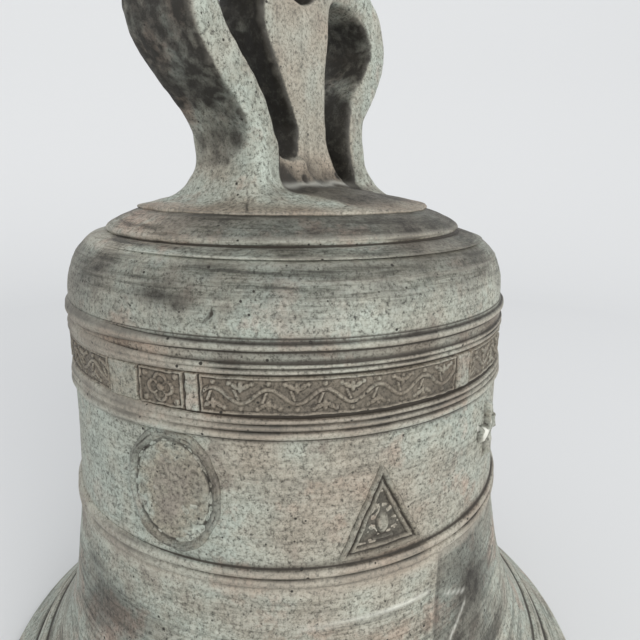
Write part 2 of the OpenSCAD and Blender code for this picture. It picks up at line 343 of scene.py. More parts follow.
def bell_bronze(name, ground="#cbcbc0", brown="#bba695", lines=1.0):
    """Sand-cast bell bronze under a very old patina: matt grey-green, with brown and mauve where hands
    and wax were, pale mineral bloom, black grime in the hollows and fine casting pits."""
    material, tree = new_material(name)
    place = add(tree, "ShaderNodeTexCoord").outputs["Object"]
    level = add(tree, "ShaderNodeMapping", {"Vector": place, "Scale": (0.06, 0.06, 1)}).outputs["Vector"]
    cloud = add(tree, "ShaderNodeTexNoise", {
        "Vector": place, "Scale": per_mm(CLOUD_MM), "Detail": 6, "Roughness": 0.65}).outputs["Fac"]
    mottle = add(tree, "ShaderNodeTexNoise", {
        "Vector": place, "Scale": per_mm(MOTTLE_MM), "Detail": 6, "Roughness": 0.8}).outputs["Fac"]
    grain = add(tree, "ShaderNodeTexNoise", {
        "Vector": place, "Scale": per_mm(GRAIN_MM), "Detail": 6, "Roughness": 0.85}).outputs["Fac"]
    ring = add(tree, "ShaderNodeTexNoise", {
        "Vector": level, "Scale": per_mm(RING_MM), "Detail": 4, "Roughness": 0.7}).outputs["Fac"]
    mask = {word: add(tree, "ShaderNodeAttribute", attribute_name=word).outputs["Fac"]
            for word in ("hollow", "umber", "mint", "soot", "bright", "turned")}

    # The masks' edges are broken up by a noise: which one, how much of it, and where the mask starts and ends
    broken = {}
    for word, by, width, low, high in (("umber", cloud, 1.2, 0.2, 1.1), ("mint", cloud, 1.0, 0.3, 1.15),
                                       ("soot", mottle, 1.1, 0.15, 1.0)):
        shift = add(tree, "ShaderNodeMath", {0: by, 1: width, 2: mask[word]}, operation="MULTIPLY_ADD")
        broken[word] = add(tree, "ShaderNodeMapRange", {
            "Value": shift.outputs[0], "From Min": low + width / 2, "From Max": high + width / 2}).outputs[0]
    sunk = add(tree, "ShaderNodeMapRange", {
        "Value": mask["hollow"], "From Min": 0.53, "From Max": 0.8, "To Max": 0.92}).outputs[0]
    worn = add(tree, "ShaderNodeMapRange", {
        "Value": mask["hollow"], "From Min": 0.34, "From Max": 0.0, "To Max": 0.2}).outputs[0]
    turning = add(tree, "ShaderNodeMath", {
        0: mask["turned"], 1: 0.85 * lines}, operation="MULTIPLY").outputs[0]
    dot = add(tree, "ShaderNodeTexVoronoi", {"Vector": place, "Scale": per_mm(PIT_MM)})
    size = add(tree, "ShaderNodeMapRange", {
        "Value": dot.outputs["Color"], "From Min": 0.5, "From Max": 1.0, "To Min": -0.05, "To Max": 0.3})
    depth = add(tree, "ShaderNodeMath", {
        0: size.outputs[0], 1: dot.outputs["Distance"]}, operation="SUBTRACT").outputs[0]
    pits = add(tree, "ShaderNodeMapRange", {"Value": depth, "From Min": 0.0, "From Max": 0.07}).outputs[0]
    scales = [(cloud, [(0.33, "#a8a096"), (0.43, ground), (0.54, "#c7cfc7"), (0.66, "#d2c0b4")]),
              (mottle, [(0.34, "#6b6962"), (0.42, "#c9c8c2"), (0.5, "#f0f0ed"), (0.64, "#ffffff")]),
              (grain, [(0.36, "#1f1d1a"), (0.44, "#a8a7a2"), (0.51, "#dbdbd7"), (0.62, "#ededea")]),
              (ring, [(0.36, "#4f4d48"), (0.46, "#c8c7c2"), (0.54, "#ffffff")])]
    colour, speck, fine, turned_line = [
        add(tree, "ShaderNodeValToRGB", {"Fac": by}, stops=stops).outputs["Color"] for by, stops in scales]
    layers = [("MIX", broken["umber"], brown), ("MIX", broken["mint"], "#d3dcd4"), ("MULTIPLY", 0.45, speck),
              ("MULTIPLY", 0.95, fine), ("MULTIPLY", turning, turned_line),
              # Dark layer: grime and stains, and painted shade where the crown's mask puts it
              ("MIX", broken["soot"], "#2b2822"),
              ("MIX", sunk, "#2e2820"), ("MIX", worn, "#c9c4b6"), ("MIX", pits, "#2b2822"),
              ("MIX", mask["bright"], "#e6e6dc")]
    for blend, amount, over in layers:
        colour = add(tree, "ShaderNodeMix", {0: amount, 6: colour, 7: over}, data_type="RGBA",
                     blend_type=blend).outputs[2]

    height = add(tree, "ShaderNodeMath", {0: mottle, 1: grain}, operation="ADD").outputs[0]
    for by, rise in ((ring, 0.9 * lines), (pits, -0.8)):
        height = add(tree, "ShaderNodeMath", {0: by, 1: rise, 2: height}, operation="MULTIPLY_ADD").outputs[0]
    bump = add(tree, "ShaderNodeBump", {"Height": height, "Strength": 0.7, "Distance": 0.35 * MM})
    shine = add(tree, "ShaderNodeMapRange", {"Value": mottle, "To Min": 0.48, "To Max": 0.8})
    shader = add(tree, "ShaderNodeBsdfPrincipled", {
        "Base Color": colour, "Metallic": 0.15, "Roughness": shine.outputs[0], "Normal": bump.outputs[0]})
    add(tree, "ShaderNodeOutputMaterial", {"Surface": shader.outputs[0]})
    return material


def wrought_iron(name):
    """Hammered bar iron with old brown rust: dull, dark, with slight scale."""
    material, tree = new_material(name)
    place = add(tree, "ShaderNodeTexCoord").outputs["Object"]
    rust = add(tree, "ShaderNodeTexNoise", {
        "Vector": place, "Scale": per_mm(RUST_MM), "Detail": 8, "Roughness": 0.7}).outputs["Fac"]
    scale = add(tree, "ShaderNodeTexNoise", {
        "Vector": place, "Scale": per_mm(SCALE_MM), "Detail": 5, "Roughness": 0.6}).outputs["Fac"]
    colour = add(tree, "ShaderNodeValToRGB", {"Fac": rust}, stops=[
        (0.35, "#3a332e"), (0.5, "#5a4232"), (0.62, "#7b5034"), (0.75, "#8a6646")]).outputs["Color"]
    bump = add(tree, "ShaderNodeBump", {"Height": scale, "Strength": 0.5, "Distance": 0.4 * MM})
    shader = add(tree, "ShaderNodeBsdfPrincipled", {
        "Base Color": colour, "Metallic": 0.4, "Roughness": 0.65, "Normal": bump.outputs[0]})
    add(tree, "ShaderNodeOutputMaterial", {"Surface": shader.outputs[0]})
    return material


def harness_leather(name):
    """Thick vegetable-tanned ox leather, greased dark: a fine pebble grain with a low sheen."""
    material, tree = new_material(name)
    place = add(tree, "ShaderNodeTexCoord").outputs["Object"]
    tone = add(tree, "ShaderNodeTexNoise", {
        "Vector": place, "Scale": per_mm(TONE_MM), "Detail": 5}).outputs["Fac"]
    pebble = add(tree, "ShaderNodeTexVoronoi", {
        "Vector": place, "Scale": per_mm(PEBBLE_MM)}).outputs["Distance"]
    colour = add(tree, "ShaderNodeValToRGB", {"Fac": tone}, stops=[
        (0.3, "#3a2315"), (0.5, "#5c3921"), (0.7, "#7c522f")]).outputs["Color"]
    bump = add(tree, "ShaderNodeBump", {"Height": pebble, "Strength": 0.4, "Distance": 0.25 * MM})
    shader = add(tree, "ShaderNodeBsdfPrincipled", {
        "Base Color": colour, "Roughness": 0.5, "Normal": bump.outputs[0]})
    add(tree, "ShaderNodeOutputMaterial", {"Surface": shader.outputs[0]})
    return material


def pale_floor():
    """Floor and wall in matt white paint. Only the camera sees the wall, so it takes no light away."""
    material, tree = new_material("matt_white_paint")
    shader = add(tree, "ShaderNodeBsdfPrincipled", {"Base Color": "#dbdcdd", "Roughness": 0.9})
    add(tree, "ShaderNodeOutputMaterial", {"Surface": shader.outputs[0]})
    flat, far, round_r, high = 1000, 1600, 600, 2500
    floor_line = np.array([[0.01, 0], [flat / 2, 0], [flat, 0]])
    curve_line = arc(flat, round_r, far - flat, round_r, -90, 0, 20)
    wall_line = np.vstack([curve_line, [[far, high]]])
    for name, line in (("floor", floor_line), ("backdrop", wall_line)):
        shown = make_mesh(name, revolve(line, 96), grid_faces(len(line), 96), material)
        shown.visible_shadow = name == "floor"
        shown.visible_diffuse = name == "floor"
        shown.visible_glossy = name == "floor"


WALL_BRONZE = bell_bronze("bell_bronze_strickled_wall")
CROWN_BRONZE = bell_bronze("bell_bronze_hand_moulded_crown", ground="#bcbcb1", brown="#c0ad9b", lines=0.0)
FRIEZE_BRONZE = bell_bronze("bell_bronze_wax_ornament", ground="#b8b3a5", brown="#9c8f80", lines=0.15)

# ---------------------------------------------------------------- lines and rings of the casting


def arc(cx, cz, rx, rz, a0, a1, count, power=2.0):
    """Quarter or half of an oval, squarer where power is above 2."""
    a = np.radians(np.linspace(a0, a1, count))
    c, s = [np.sign(wave) * np.abs(wave)**(2 / power) for wave in (np.cos(a), np.sin(a))]
    return np.stack([cx + rx * c, cz + rz * s], 1)


def dense(line, step=0.25):
    """The line with points every step mm."""
    out = []
    for a, b in zip(line[:-1], line[1:]):
        count = max(int(np.linalg.norm(b - a) / step), 1)
        out += [a + (b - a) * i / count for i in range(count)]
    return np.array(out + [line[-1]])


def spread(line, count, turning=1.1):
    """The same line with count points, closer together where it turns sharply."""
    step = np.linalg.norm(np.diff(line, axis=0), axis=1)
    way = np.unwrap(np.arctan2(np.diff(line[:, 1]), np.diff(line[:, 0])))
    turn = np.abs(np.diff(way, append=way[-1]))
    weight = step + turning * np.convolve(turn, np.ones(5) / 5, "same")
    along = np.concatenate([[0], np.cumsum(weight)])
    at = np.linspace(0, along[-1], count)
    return np.stack([np.interp(at, along, line[:, 0]), np.interp(at, along, line[:, 1])], 1)


def revolve(line, columns):
    """Points of a line of (radius, height) turned round the bell's axis."""
    a = np.linspace(0, 2 * np.pi, columns, endpoint=False)
    r, z = line[:, 0][:, None], line[:, 1][:, None]
    return np.stack([r * np.cos(a), r * np.sin(a), z + 0 * a], -1).reshape(-1, 3)


def azimuth(points):
    """Angle round the bell in degrees from the middle of the ornament, from -180 to 180."""
    a = np.degrees(np.arctan2(points[..., 0], -points[..., 1])) - ORNAMENT_TURN
    return (a + 180) % 360 - 180


def spot(points, az, z, wide, tall):
    """1 at a place on the wall, fading over wide mm round it and tall mm up it."""
    round_mm = np.radians((azimuth(points) - az + 180) % 360 - 180) * 100
    return np.exp(-(round_mm / wide)**2 - ((points[..., 2] - z) / tall)**2)


def band(z, low, high, soft=2.0):
    """1 between two heights, fading over soft mm at each."""
    return smooth_step(low - soft, low + soft, z) * (1 - smooth_step(high - soft, high + soft, z))


def cast_wander(points):
    """How far the cast surface strays from true, outwards in mm: slow waves, and a bulge on one side."""
    side = smooth_step(0.3, 1, np.cos(np.radians(azimuth(points) + 90)))
    bulge = 3.2 * side * smooth_step(40, 110, points[..., 2])
    return bulge + 0.4 * noise(points, 70, 3) + 0.25 * rough(points, 24, 2, 5)


def strickle(points):
    """Rings left by the strickle board, in mm, strongest on the head and the top of the shoulder."""
    z = points[..., 2]
    rings = noise(points, (70, 70, 2.6), 11) + 0.7 * noise(points, (110, 110, 1.3), 12)
    return (0.05 + 0.16 * smooth_step(218, 232, z)) * rings


# Wires and ribs of the outside as (height, radius) in mm
BEADS = [(19, 1.6), (25, 1.6), (29.5, 1.9), (125.3, 1.7), (129, 1.7), (182.3, 1.5), (185.1, 1.2),
         (187.4, 1.0), (204.9, 0.9), (206.9, 0.9), (213.4, 1.4)]

# Stains on the wall as (strength, azimuth, height, width, tallness), where a negative one is clean metal
BROWN_SPOTS = [(0.6, 8, 156, 45, 30), (0.35, 5, 90, 50, 30)]
PALE_SPOTS = [(0.6, -50, 155, 34, 34), (0.35, 12, 222, 16, 5)]
DARK_SPOTS = [(-0.8, -50, 247, 38, 7), (0.22, -45, 226, 40, 12), (0.4, -28, 228, 9, 3), (0.3, -22, 226, 5, 2),
              (0.28, 45, 98, 22, 26), (0.75, -46, 94, 28, 20), (0.22, -10, 70, 30, 18)]


def stains(points, places):
    return sum(strength * spot(points, *place) for strength, *place in places)


def paint(piece, **masks):
    """Stores masks from 0 to 1 that the bronze reads."""
    for word, values in masks.items():
        layer = piece.data.attributes.new(word, "FLOAT", "POINT")
        layer.data.foreach_set("value", np.clip(values, 0, 1).astype(np.float32))


def patina(points, faces, ornament=0.0):
    """Brown, pale and dark masks of the wall, from height, facing and slow noise."""
    z, az = points[:, 2], azimuth(points)
    up = normals(points, faces)[:, 2]
    slow, patch = rough(points, 45, 2, 31), rough(points, 16, 2, 32)
    umber = (0.2 + 0.3 * slow + 0.3 * patch + ornament + stains(points, BROWN_SPOTS)
             + 0.5 * band(z, 182, 214) + 0.3 * band(z, 120, 131) + 0.3 * smooth_step(238, 246, z))
    mint = (0.12 + 0.3 * patch - 0.4 * ornament + stains(points, PALE_SPOTS)
            + 0.22 * band(z, 216, 236, 5) + 0.1 * band(z, 134, 178))
    seam_az = np.interp(z, [55, 87, 124], [30.5, 29.6, 33])
    past_seam = smooth_step(-1, 1, az - seam_az) * (1 - smooth_step(45, 75, az))
    soot = (0.02 + 0.2 * patch + stains(points, DARK_SPOTS)
            # Darker on the upward faces of the shoulder
            + 0.48 * smooth_step(0.0, 0.7, up) * smooth_step(200, 214, z)
            + 0.48 * past_seam * band(z, 60, 124, 4)
            + 0.3 * smooth_step(240, 247, z) + 0.15 * band(z, 214, 240)
            + 0.24 * band(z, 182, 214) + 0.12 * band(z, 122, 132))
    beside = sum(np.exp(-((np.abs(z - at) - radius - 0.2) / 0.6)**2) for at, radius in BEADS)
    soot = soot + (0.46 + 0.35 * patch) * np.minimum(beside, 1)
    turned_marks = 0.3 + 0.7 * smooth_step(222, 236, z) + 0.35 * (1 - smooth_step(90, 125, z)) + 0.2 * patch
    return {"umber": umber, "mint": mint, "soot": soot, "turned": turned_marks}


# Height where the wall's two rings meet, points round it, and (radius, height) of the shoulder's top edge
SPLIT_Z = 123.2
WALL_COLUMNS = 600
SHOULDER_TOP = (89.6, HEAD_Z + 0.9)


def bead(z, centre, radius):
    """Half-round wire on the wall."""
    return np.sqrt(np.maximum(radius**2 - (z - centre)**2, 0))


def plain_r(z):
    """Outer radius of the wall without its ribs."""
    return WAIST_TOP_R + (MOUTH_R - WAIST_TOP_R) * np.exp(-(z - LIP_ROUND) / FLARE_LEN)


def outer_r(z):
    """Outer radius from the lip to the shoulder rib, without the slow waves."""
    ring = band(z, 188.3, 203.7, 0.5)
    return plain_r(z) + ring * (99.6 - plain_r(z)) + sum(bead(z, *one) for one in BEADS)


def bore_r(z):
    """Inner radius of the wall above its bevel."""
    return BORE_TOP_R + BOW_SWELL * np.exp(-(z - BOW_Z) / BOW_FADE)


def ring_solid(name, outer, inner, rows, columns, nodes):
    """Closed ring of the wall between an outer and an inner line, with the marks of the casting."""
    outer, inner = spread(outer, rows[0]), spread(inner, rows[1])
    points = revolve(np.concatenate([outer, inner]), columns)
    faces = grid_faces(sum(rows), columns, closed=True)
    shown = np.arange(len(points)) < rows[0] * columns
    hold = smooth_step(0, 5, points[:, 2])
    facing = normals(points, faces)
    shift = (cast_wander(points) + strickle(points)) * hold * shown
    points = points + facing * np.where(shown, shift, 0.25 * rough(points, 30, 2, 9) * hold)[:, None]
    points = points + facing * (moulding_marks(points) * shown)[:, None]
    piece = make_mesh(name, points, faces, WALL_BRONZE)
    mark_hollows(piece, points, faces, 6, 0.4, marked=shown)
    masks = patina(points, faces)
    masks["bright"] = scratches(points) * shown
    masks["soot"] = np.where(shown, masks["soot"], 0.35 + 0.3 * rough(points, 30, 2, 8))
    paint(piece, **masks)
    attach(piece, BELL)
    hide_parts(*nodes)


def near_line(points, start, end, half):
    """1 on a line between two places on the wall, each an azimuth and a height, fading over half mm."""
    u, z = np.radians(azimuth(points)) * 102, points[:, 2]
    (u0, z0), (u1, z1) = [(math.radians(az) * 102, height) for az, height in (start, end)]
    t = np.clip(((u - u0) * (u1 - u0) + (z - z0) * (z1 - z0)) / ((u1 - u0)**2 + (z1 - z0)**2), 0, 1)
    return np.exp(-(np.hypot(u - u0 - t * (u1 - u0), z - z0 - t * (z1 - z0)) / half)**2)


def moulding_marks(points):
    """Seam of the mould and old dents, outwards in mm."""
    lines = [(0.6, (33, 124), (29.6, 87), 1.0), (0.36, (29.6, 87), (30.5, 55), 1.0),
             (-0.5, (-17, 221), (-15.5, 223.5), 0.8), (-0.5, (-15.5, 223.5), (-15.6, 226), 0.8)]
    return sum(rise * near_line(points, *line) for rise, *line in lines)


def scratches(points):
    """Bright scuffs on the lower waist."""
    lines = [((1, 107), (30, 108.5), 0.7), ((35, 103), (42, 97), 0.6), ((42, 92.5), (35.4, 82.7), 0.6)]
    return 0.85 * sum(near_line(points, *line) for line in lines) * (0.6 + 0.4 * noise(points, 5, 44))


def cast_wall():
    """The wall in two rings, so that neither has too many triangles."""
    low_z = np.arange(LIP_ROUND + 0.2, SPLIT_Z, 0.2)
    high_z = np.arange(SPLIT_Z, SHOULDER_Z, 0.15)
    top_r, top_z = SHOULDER_TOP
    lip = arc(MOUTH_R - LIP_ROUND, LIP_ROUND, LIP_ROUND, LIP_ROUND, -90, 0, 30)
    bend_r = top_r - 6
    shoulder = arc(bend_r, SHOULDER_Z, WAIST_TOP_R + 0.3 - bend_r, top_z - SHOULDER_Z, 0, 90, 90, 2.25)
    bore_low = np.arange(SPLIT_Z, BOW_Z, -1)
    bore_high = np.arange(HEAD_Z - 23, SPLIT_Z, -1)
    bevel = arc(LIP_FLAT_R, BOW_Z, bore_r(BOW_Z) - LIP_FLAT_R, BOW_Z, 0, -90, 20)
    inner_top = arc(70, HEAD_Z - 22, bore_r(HEAD_Z - 22) - 70, 22, 90, 0, 20)
    ring_solid("cast_wall_low",
               np.concatenate([lip, np.stack([outer_r(low_z), low_z], 1)]),
               np.concatenate([np.stack([bore_r(bore_low), bore_low], 1), bevel]),
               (112, 34), WALL_COLUMNS, ["sound_bow", "waist"])
    ring_solid("cast_wall_high",
               np.concatenate([np.stack([outer_r(high_z), high_z], 1), shoulder]),
               np.concatenate([inner_top, np.stack([bore_r(bore_high), bore_high], 1)]),
               (132, 24), WALL_COLUMNS, ["waist", "shoulder"])


cast_wall()

# ---------------------------------------------------------------- head and crown

# The head and its disc sit a little off the bell's axis
SIDEWAYS = np.array(turned(VIEW_AZIMUTH + 90))
HEAD_SHIFT = -3.2 * SIDEWAYS


def head_steps():
    """Stepped rings round the crown's disc, and the flat ceiling inside the bell."""
    line = np.array([[0, 240], [60, 240], [86, 240], [90.1, 240.2], [90.3, 240.9], [89.6, 241.6], [84, 243.3],
                     [82.2, 243.3], [81.4, 243.8], [82.0, 244.2], [82.4, 245.0], [82.0, 246.1], [80.6, 247.2],
                     [76, 249.7], [70.5, 252], [66.6, 253], [60, 253.2], [0, 253.2]])
    rows = 130
    points = revolve(spread(dense(line), rows, 0.7), WALL_COLUMNS)
    faces = grid_faces(rows, WALL_COLUMNS)
    facing = normals(points, faces)
    above = smooth_step(240.3, 241, points[:, 2])
    uneven = 0.3 * rough(points, 26, 2, 5) + 1.3 * strickle(points)
    points = points + facing * (uneven * above)[:, None]
    points = points + HEAD_SHIFT * above[:, None]
    piece = make_mesh("head_steps", points, faces, WALL_BRONZE)
    mark_hollows(piece, points, faces, 3, 0.3)
    paint(piece, **patina(points, faces))
    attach(piece, BELL)
    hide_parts("head_plate")


def curve(knots, steps):
    """Smooth line through rows of knots."""
    knots = np.asarray(knots, float)
    ends = np.vstack([2 * knots[0] - knots[1], knots, 2 * knots[-1] - knots[-2]])
    t = np.linspace(0, 1, steps, endpoint=False)[:, None]
    out = []
    for p0, p1, p2, p3 in zip(ends, ends[1:], ends[2:], ends[3:]):
        out.append(0.5 * (2 * p1 + (p2 - p0) * t + (2 * p0 - 5 * p1 + 4 * p2 - p3) * t**2
                          + (3 * p1 - p0 - 3 * p2 + p3) * t**3))
    return np.vstack(out + [knots[-1:]])


# Canon centre lines as (x, z, width, thickness)
NEAR_CANON = [(-43, 248, 36, 18), (-41, 262, 34.5, 17.5), (-39, 273, 34, 17), (-41, 286, 34, 17),
              (-49, 298, 34, 17), (-61.5, 310, 34, 17), (-69, 322, 34.5, 17.4), (-68, 334, 34.5, 17.4),
              (-59.5, 345, 34, 17.4), (-46, 351, 32, 18), (-30, 352, 28, 18), (-16, 352, 26, 18)]
FAR_CANON = [(44.5, 248, 34, 19), (41.5, 262, 32.5, 18), (37, 273, 32, 17.6), (33.8, 286, 32, 17.6),
             (36.2, 298, 32, 17.6), (45.2, 310, 32, 17.6), (53, 322, 32, 17.6), (52.6, 333, 32, 17.6),
             (45.5, 343, 31, 17.6), (34, 350, 29, 18), (18, 352, 26, 18), (6, 352, 24, 18)]
CANON_SQUARENESS = 5.5
# The argent's head leans over, with its eye hole in it
ARGENT_LEAN = 8
EYE_Z = CROWN_TOP_Z - 23
EYE_R = 12
# Cells of the grid in which the crown is cast, in mm
CROWN_STEP = 0.95
# Blow holes at the foot of the crown as (centre, size) in mm
PINHOLES = [((-14.2, -17, 265.4), 1.6), ((16, -17, 267.5), 1.4), ((-3, -19, 262.5), 0.9)]


def argent_line():
    """Outline of the argent in the XZ plane, anticlockwise from its right foot."""
    top = arc(-ARGENT_LEAN, CROWN_TOP_Z - 12, 23, 12, 0, 180, 17)
    right = [(26, 250), (24, 258), (19, 268), (15.8, 278), (13.4, 288), (12, 298), (11.8, 312), (13.4, 322),
             (15, 336)]
    left = [(-31, 338), (-34, 330), (-32, 321), (-26, 311), (-19, 300), (-12, 288), (-13.5, 278), (-18, 268),
            (-24, 258), (-26, 250)]
    return np.vstack([curve(right, 3), top, curve(left, 3)])


def outline_distance(x, z, line):
    """Signed distance in the plane to a closed outline, negative inside."""
    best = np.full(x.shape, 1e9)
    inside = np.zeros(x.shape, bool)
    for (ax, az), (bx, bz) in zip(line, np.roll(line, -1, axis=0)):
        dx, dz = bx - ax, bz - az
        t = np.clip(((x - ax) * dx + (z - az) * dz) / (dx * dx + dz * dz), 0, 1)
        best = np.minimum(best, np.hypot(x - ax - t * dx, z - az - t * dz))
        if az != bz:
            inside ^= ((az > z) != (bz > z)) & (x < ax + (z - az) * dx / (bz - az))
    return np.where(inside, -best, best)


def canon_field(x, y, z, knots):
    """Field of a bar with a rounded oblong section along a curved centre line in the XZ plane."""
    line = curve(knots, 5)
    power = CANON_SQUARENESS
    best = np.full(x.shape, 1e9)
    for (ax, az, aw, at), (bx, bz, bw, bt) in zip(line[:-1], line[1:]):
        dx, dz = bx - ax, bz - az
        t = np.clip(((x - ax) * dx + (z - az) * dz) / (dx * dx + dz * dz), 0, 1)
        across = np.hypot(x - ax - t * dx, z - az - t * dz) / (0.5 * (at + (bt - at) * t))
        side = np.abs(y) / (0.5 * (aw + (bw - aw) * t))
        gauge = (across**power + side**power) ** (1 / power)
        best = np.minimum(best, (gauge - 1) * 0.25 * (at + aw))
    return best


def crown_field(x, y, z):
    """Crown of two canons and the argent, running out into the boss on its disc."""
    hx, hy = x - HEAD_SHIFT[0], y - HEAD_SHIFT[1]
    r, turn = np.hypot(hx, hy), np.arctan2(hy, hx)
    edge = DISC_R - 1.9 + 0.5 * np.sin(3 * turn + 1) + 0.35 * np.sin(11 * turn) + 0.3 * np.sin(23 * turn + 2)
    edge = edge + 0.9 * np.minimum(noise(np.stack([hx, hy, 0 * hx + 7], -1), 5, 27), 0.1)
    top = np.interp(r, [15, 30, 45, 57, 64, 68], [262.5, 261.5, 259, 256.6, 255, 254.3])
    top = top + 0.4 * np.sin(5 * turn) * smooth_step(50, 66, r)
    field = np.maximum((z - top) * 0.9, r - edge)
    core = np.abs(y[0, :, 0]) < 36
    x, y, z = (v[:, core, :] for v in (x, y, z))
    flat = outline_distance(x[:, 0, :], z[:, 0, :], argent_line())[:, None, :]
    half = 12 + 5 * (1 - smooth_step(256, 285, z))
    corner = 3.5
    back = 1.8 * smooth_step(298, 322, z)
    a, b = flat + corner + 0 * y, np.abs(y - back) - half - back + corner
    argent = np.hypot(np.maximum(a, 0), np.maximum(b, 0)) + np.minimum(np.maximum(a, b), 0) - corner
    eye = EYE_R - np.hypot(x + ARGENT_LEAN, z - EYE_Z)
    canons = np.minimum(canon_field(x, y, z, NEAR_CANON), canon_field(x, y, z, FAR_CANON))
    crown = blend_min(argent, canons, 6)
    # Metal that filled the mould between the feet of the argent and the near canon
    web = np.maximum(np.maximum(np.abs(x + 26) - 13, np.abs(y) - 13.5), z - 275 + 0.3 * (x + 26))
    crown = blend_min(crown, web, 9)
    crown = -blend_min(-crown, -eye, 2.5)
    foot = 8 + 7 * smooth_step(30, 46, np.abs(x))
    field[:, core, :] = blend_min(field[:, core, :], crown, foot)
    return field


def field_at(field, low, step, points):
    """Value of a sampled field at points, blended between its corners."""
    p = np.clip((points - low) / step, 0, np.array(field.shape) - 1.001)
    i = p.astype(int)
    f = p - i
    total = 0
    for cx in (0, 1):
        for cy in (0, 1):
            for cz in (0, 1):
                weight = np.prod([f[:, k] if c else 1 - f[:, k] for k, c in enumerate((cx, cy, cz))], axis=0)
                total = total + weight * field[i[:, 0] + cx, i[:, 1] + cy, i[:, 2] + cz]
    return total


def canon_side(x):
    """1 where x is out at the canons, 0 at the argent."""
    return smooth_step(26, 34, np.abs(x))


def crown():
    """The crown with its boss, its blow holes, its stains and its painted shade."""
    low = np.array([-86, -76, 246.3])
    x, y, z = sample_grid(low, (76, 76, 376), CROWN_STEP)
    field = np.maximum(crown_field(x, y, z), 252.6 - z)
    points, faces = surface_of(field, low, CROWN_STEP)
    for _ in range(2):
        points = points + 0.5 * (neighbour_mean(points, faces) - points)
    facing = normals(points, faces)
    px, pz = points[:, 0], points[:, 2]
    # Tooling marks run up the canons, which lean outwards
    along = points.copy()
    along[:, 0] = px + 0.55 * np.sign(px) * (pz - 290) * band(pz, 278, 325, 8) * (np.abs(px) > 26)
    streak = noise(along, (2.2, 2.2, 14), 24) + 0.6 * noise(along, (4, 4, 24), 25)
    raised = smooth_step(254, 258, pz)
    wear = 0.55 * noise(points, 26, 21) + 0.25 * rough(points, 8, 2, 22) + 0.16 * streak
    holes = sum(np.exp(-(((points - at) * [1, 0.4, 1])**2).sum(1) / size**2) for at, size in PINHOLES)
    holes = np.clip(holes, 0, 1)
    seat = np.exp(-((pz - 263.5 - 1.5 * noise(points, 9, 28)) / 1.1)**2) * (1 - canon_side(px))
    # Painted light: the far canon round 304 mm up is kept paler, taking back some painted shade
    painted_light_inside = np.exp(-((pz - 304) / 8)**2) * (px > 24)
    shaded_flank = np.exp(-((px + 24) / 7)**2) * smooth_step(290, 305, pz) * smooth_step(0, 9, -points[:, 1])
    points = points + facing * (wear * (0.35 + 0.65 * raised) - 1.6 * holes)[:, None]
    piece = make_mesh("crown", points, faces, CROWN_BRONZE)
    mark_hollows(piece, points, faces, 5, 0.45)
    # How much metal stands in front of each point, near and farther off, which darkens the recesses as grime
    # and painted shade
    shut = np.mean([np.clip(1 - field_at(field, low, CROWN_STEP, points + facing * way) / way, 0, 1)
                    for way in (4, 9, 18)], 0)
    # Faces turned along x are made darker and faces turned along y paler; on the argent the darker sides are
    # painted shade
    side = smooth_step(0.25, 0.6, np.abs(facing[:, 0])) * raised
    front = smooth_step(0.5, 0.9, np.abs(facing[:, 1])) * raised
    canon = canon_side(px) * raised
    patch = rough(points, 17, 3, 26)
    low_part = 1 - smooth_step(264, 300 - 15 * smooth_step(-6, 10, -points[:, 1]), pz + 9 * patch)
    crack = np.exp(-((points @ SIDEWAYS + 17 + 0.8 * noise(points, 3, 29)) / 0.55)**2)
    crack = crack * band(pz, 254, 268, 1) * (facing @ SIDEWAYS < 0.7)
    middle = 1 - canon
    # The dark mask is stains and grime, with painted shade in the recesses and on the argent's shaded flank
    paint(piece,
          umber=0.25 + 0.3 * patch + 0.35 * middle * front + 0.5 * low_part * middle + 0.15 * side,
          mint=0.05 + 0.42 * canon * front + 0.35 * canon * low_part + 0.2 * streak,
          soot=0.02 + 0.95 * side * (1 - 0.9 * low_part) + 0.6 * middle * side - 0.3 * front
          + 1.1 * smooth_step(0.12, 0.6, shut) + 0.25 * patch + 0.2 * streak * (0.4 + side)
          + holes + 0.8 * crack + 0.45 * shaded_flank - 0.55 * painted_light_inside
          - 0.25 * low_part * canon + 0.85 * low_part * middle * raised + 0.15 * (1 - raised),
          turned=0.5 + 0 * px,
          bright=0.3 * seat + 0.05 * front * middle * (1 - low_part))
    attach(piece, BELL)
    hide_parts("argent", "near_canon", "far_canon")


head_steps()
crown()

# ---------------------------------------------------------------- wax ornament


def raised(distance, half):
    """Height from 0 to 1 of a worn ridge whose middle is at distance 0."""
    return 1 - smooth_step(half * 0.4, half * 1.5, distance)


def leaf(u, v, at_u, at_v, long, wide, lean):
    """Distance-like measure to a leaf: 0 at its middle and 1 at its edge."""
    c, s = math.cos(math.radians(lean)), math.sin(math.radians(lean))
    du, dv = u - at_u, v - at_v
    return np.hypot((c * du + s * dv) / long, (-s * du + c * dv) / wide)


# Length of one wave of the vine, and its leaves as (place along, place up, length, width, lean)
VINE_MM = 19.0
VINE_LEAVES = [(0, -3.0, 2.0, 0.9, 90), (-1.9, -3.4, 1.7, 0.8, 35), (1.9, -3.4, 1.7, 0.8, 145)]


def vine(u, v):
    """Running vine: a wavy stem with a three-lobed leaf and berries in each bend."""
    half = VINE_MM / 2
    turn = np.floor(u / half)
    sign = np.where(turn % 2 == 0, 1, -1)
    a, b = u - half * (turn + 0.5), v * sign
    wave = 2.6 * np.cos(np.pi * a / half)
    slope = 2.6 * np.pi / half * np.sin(np.pi * a / half)
    height = raised(np.abs(b - wave) / np.sqrt(1 + slope**2), 0.6)
    for lobe in VINE_LEAVES:
        height = np.maximum(height, 0.95 * (1 - smooth_step(0.6, 1.25, leaf(a, b, *lobe))))
    stem = np.abs(a + 1.5 - 0.4 * (b + 0.5)) + 10 * ((b > 1.4) | (b < -2.2))
    height = np.maximum(height, raised(stem, 0.45))
    for at_u, at_v in ((-3.9, -4.4), (3.9, -4.4), (0, 4.6)):
        height = np.maximum(height, 1 - smooth_step(0.4, 1.1, np.hypot(a - at_u, b - at_v)))
    return height


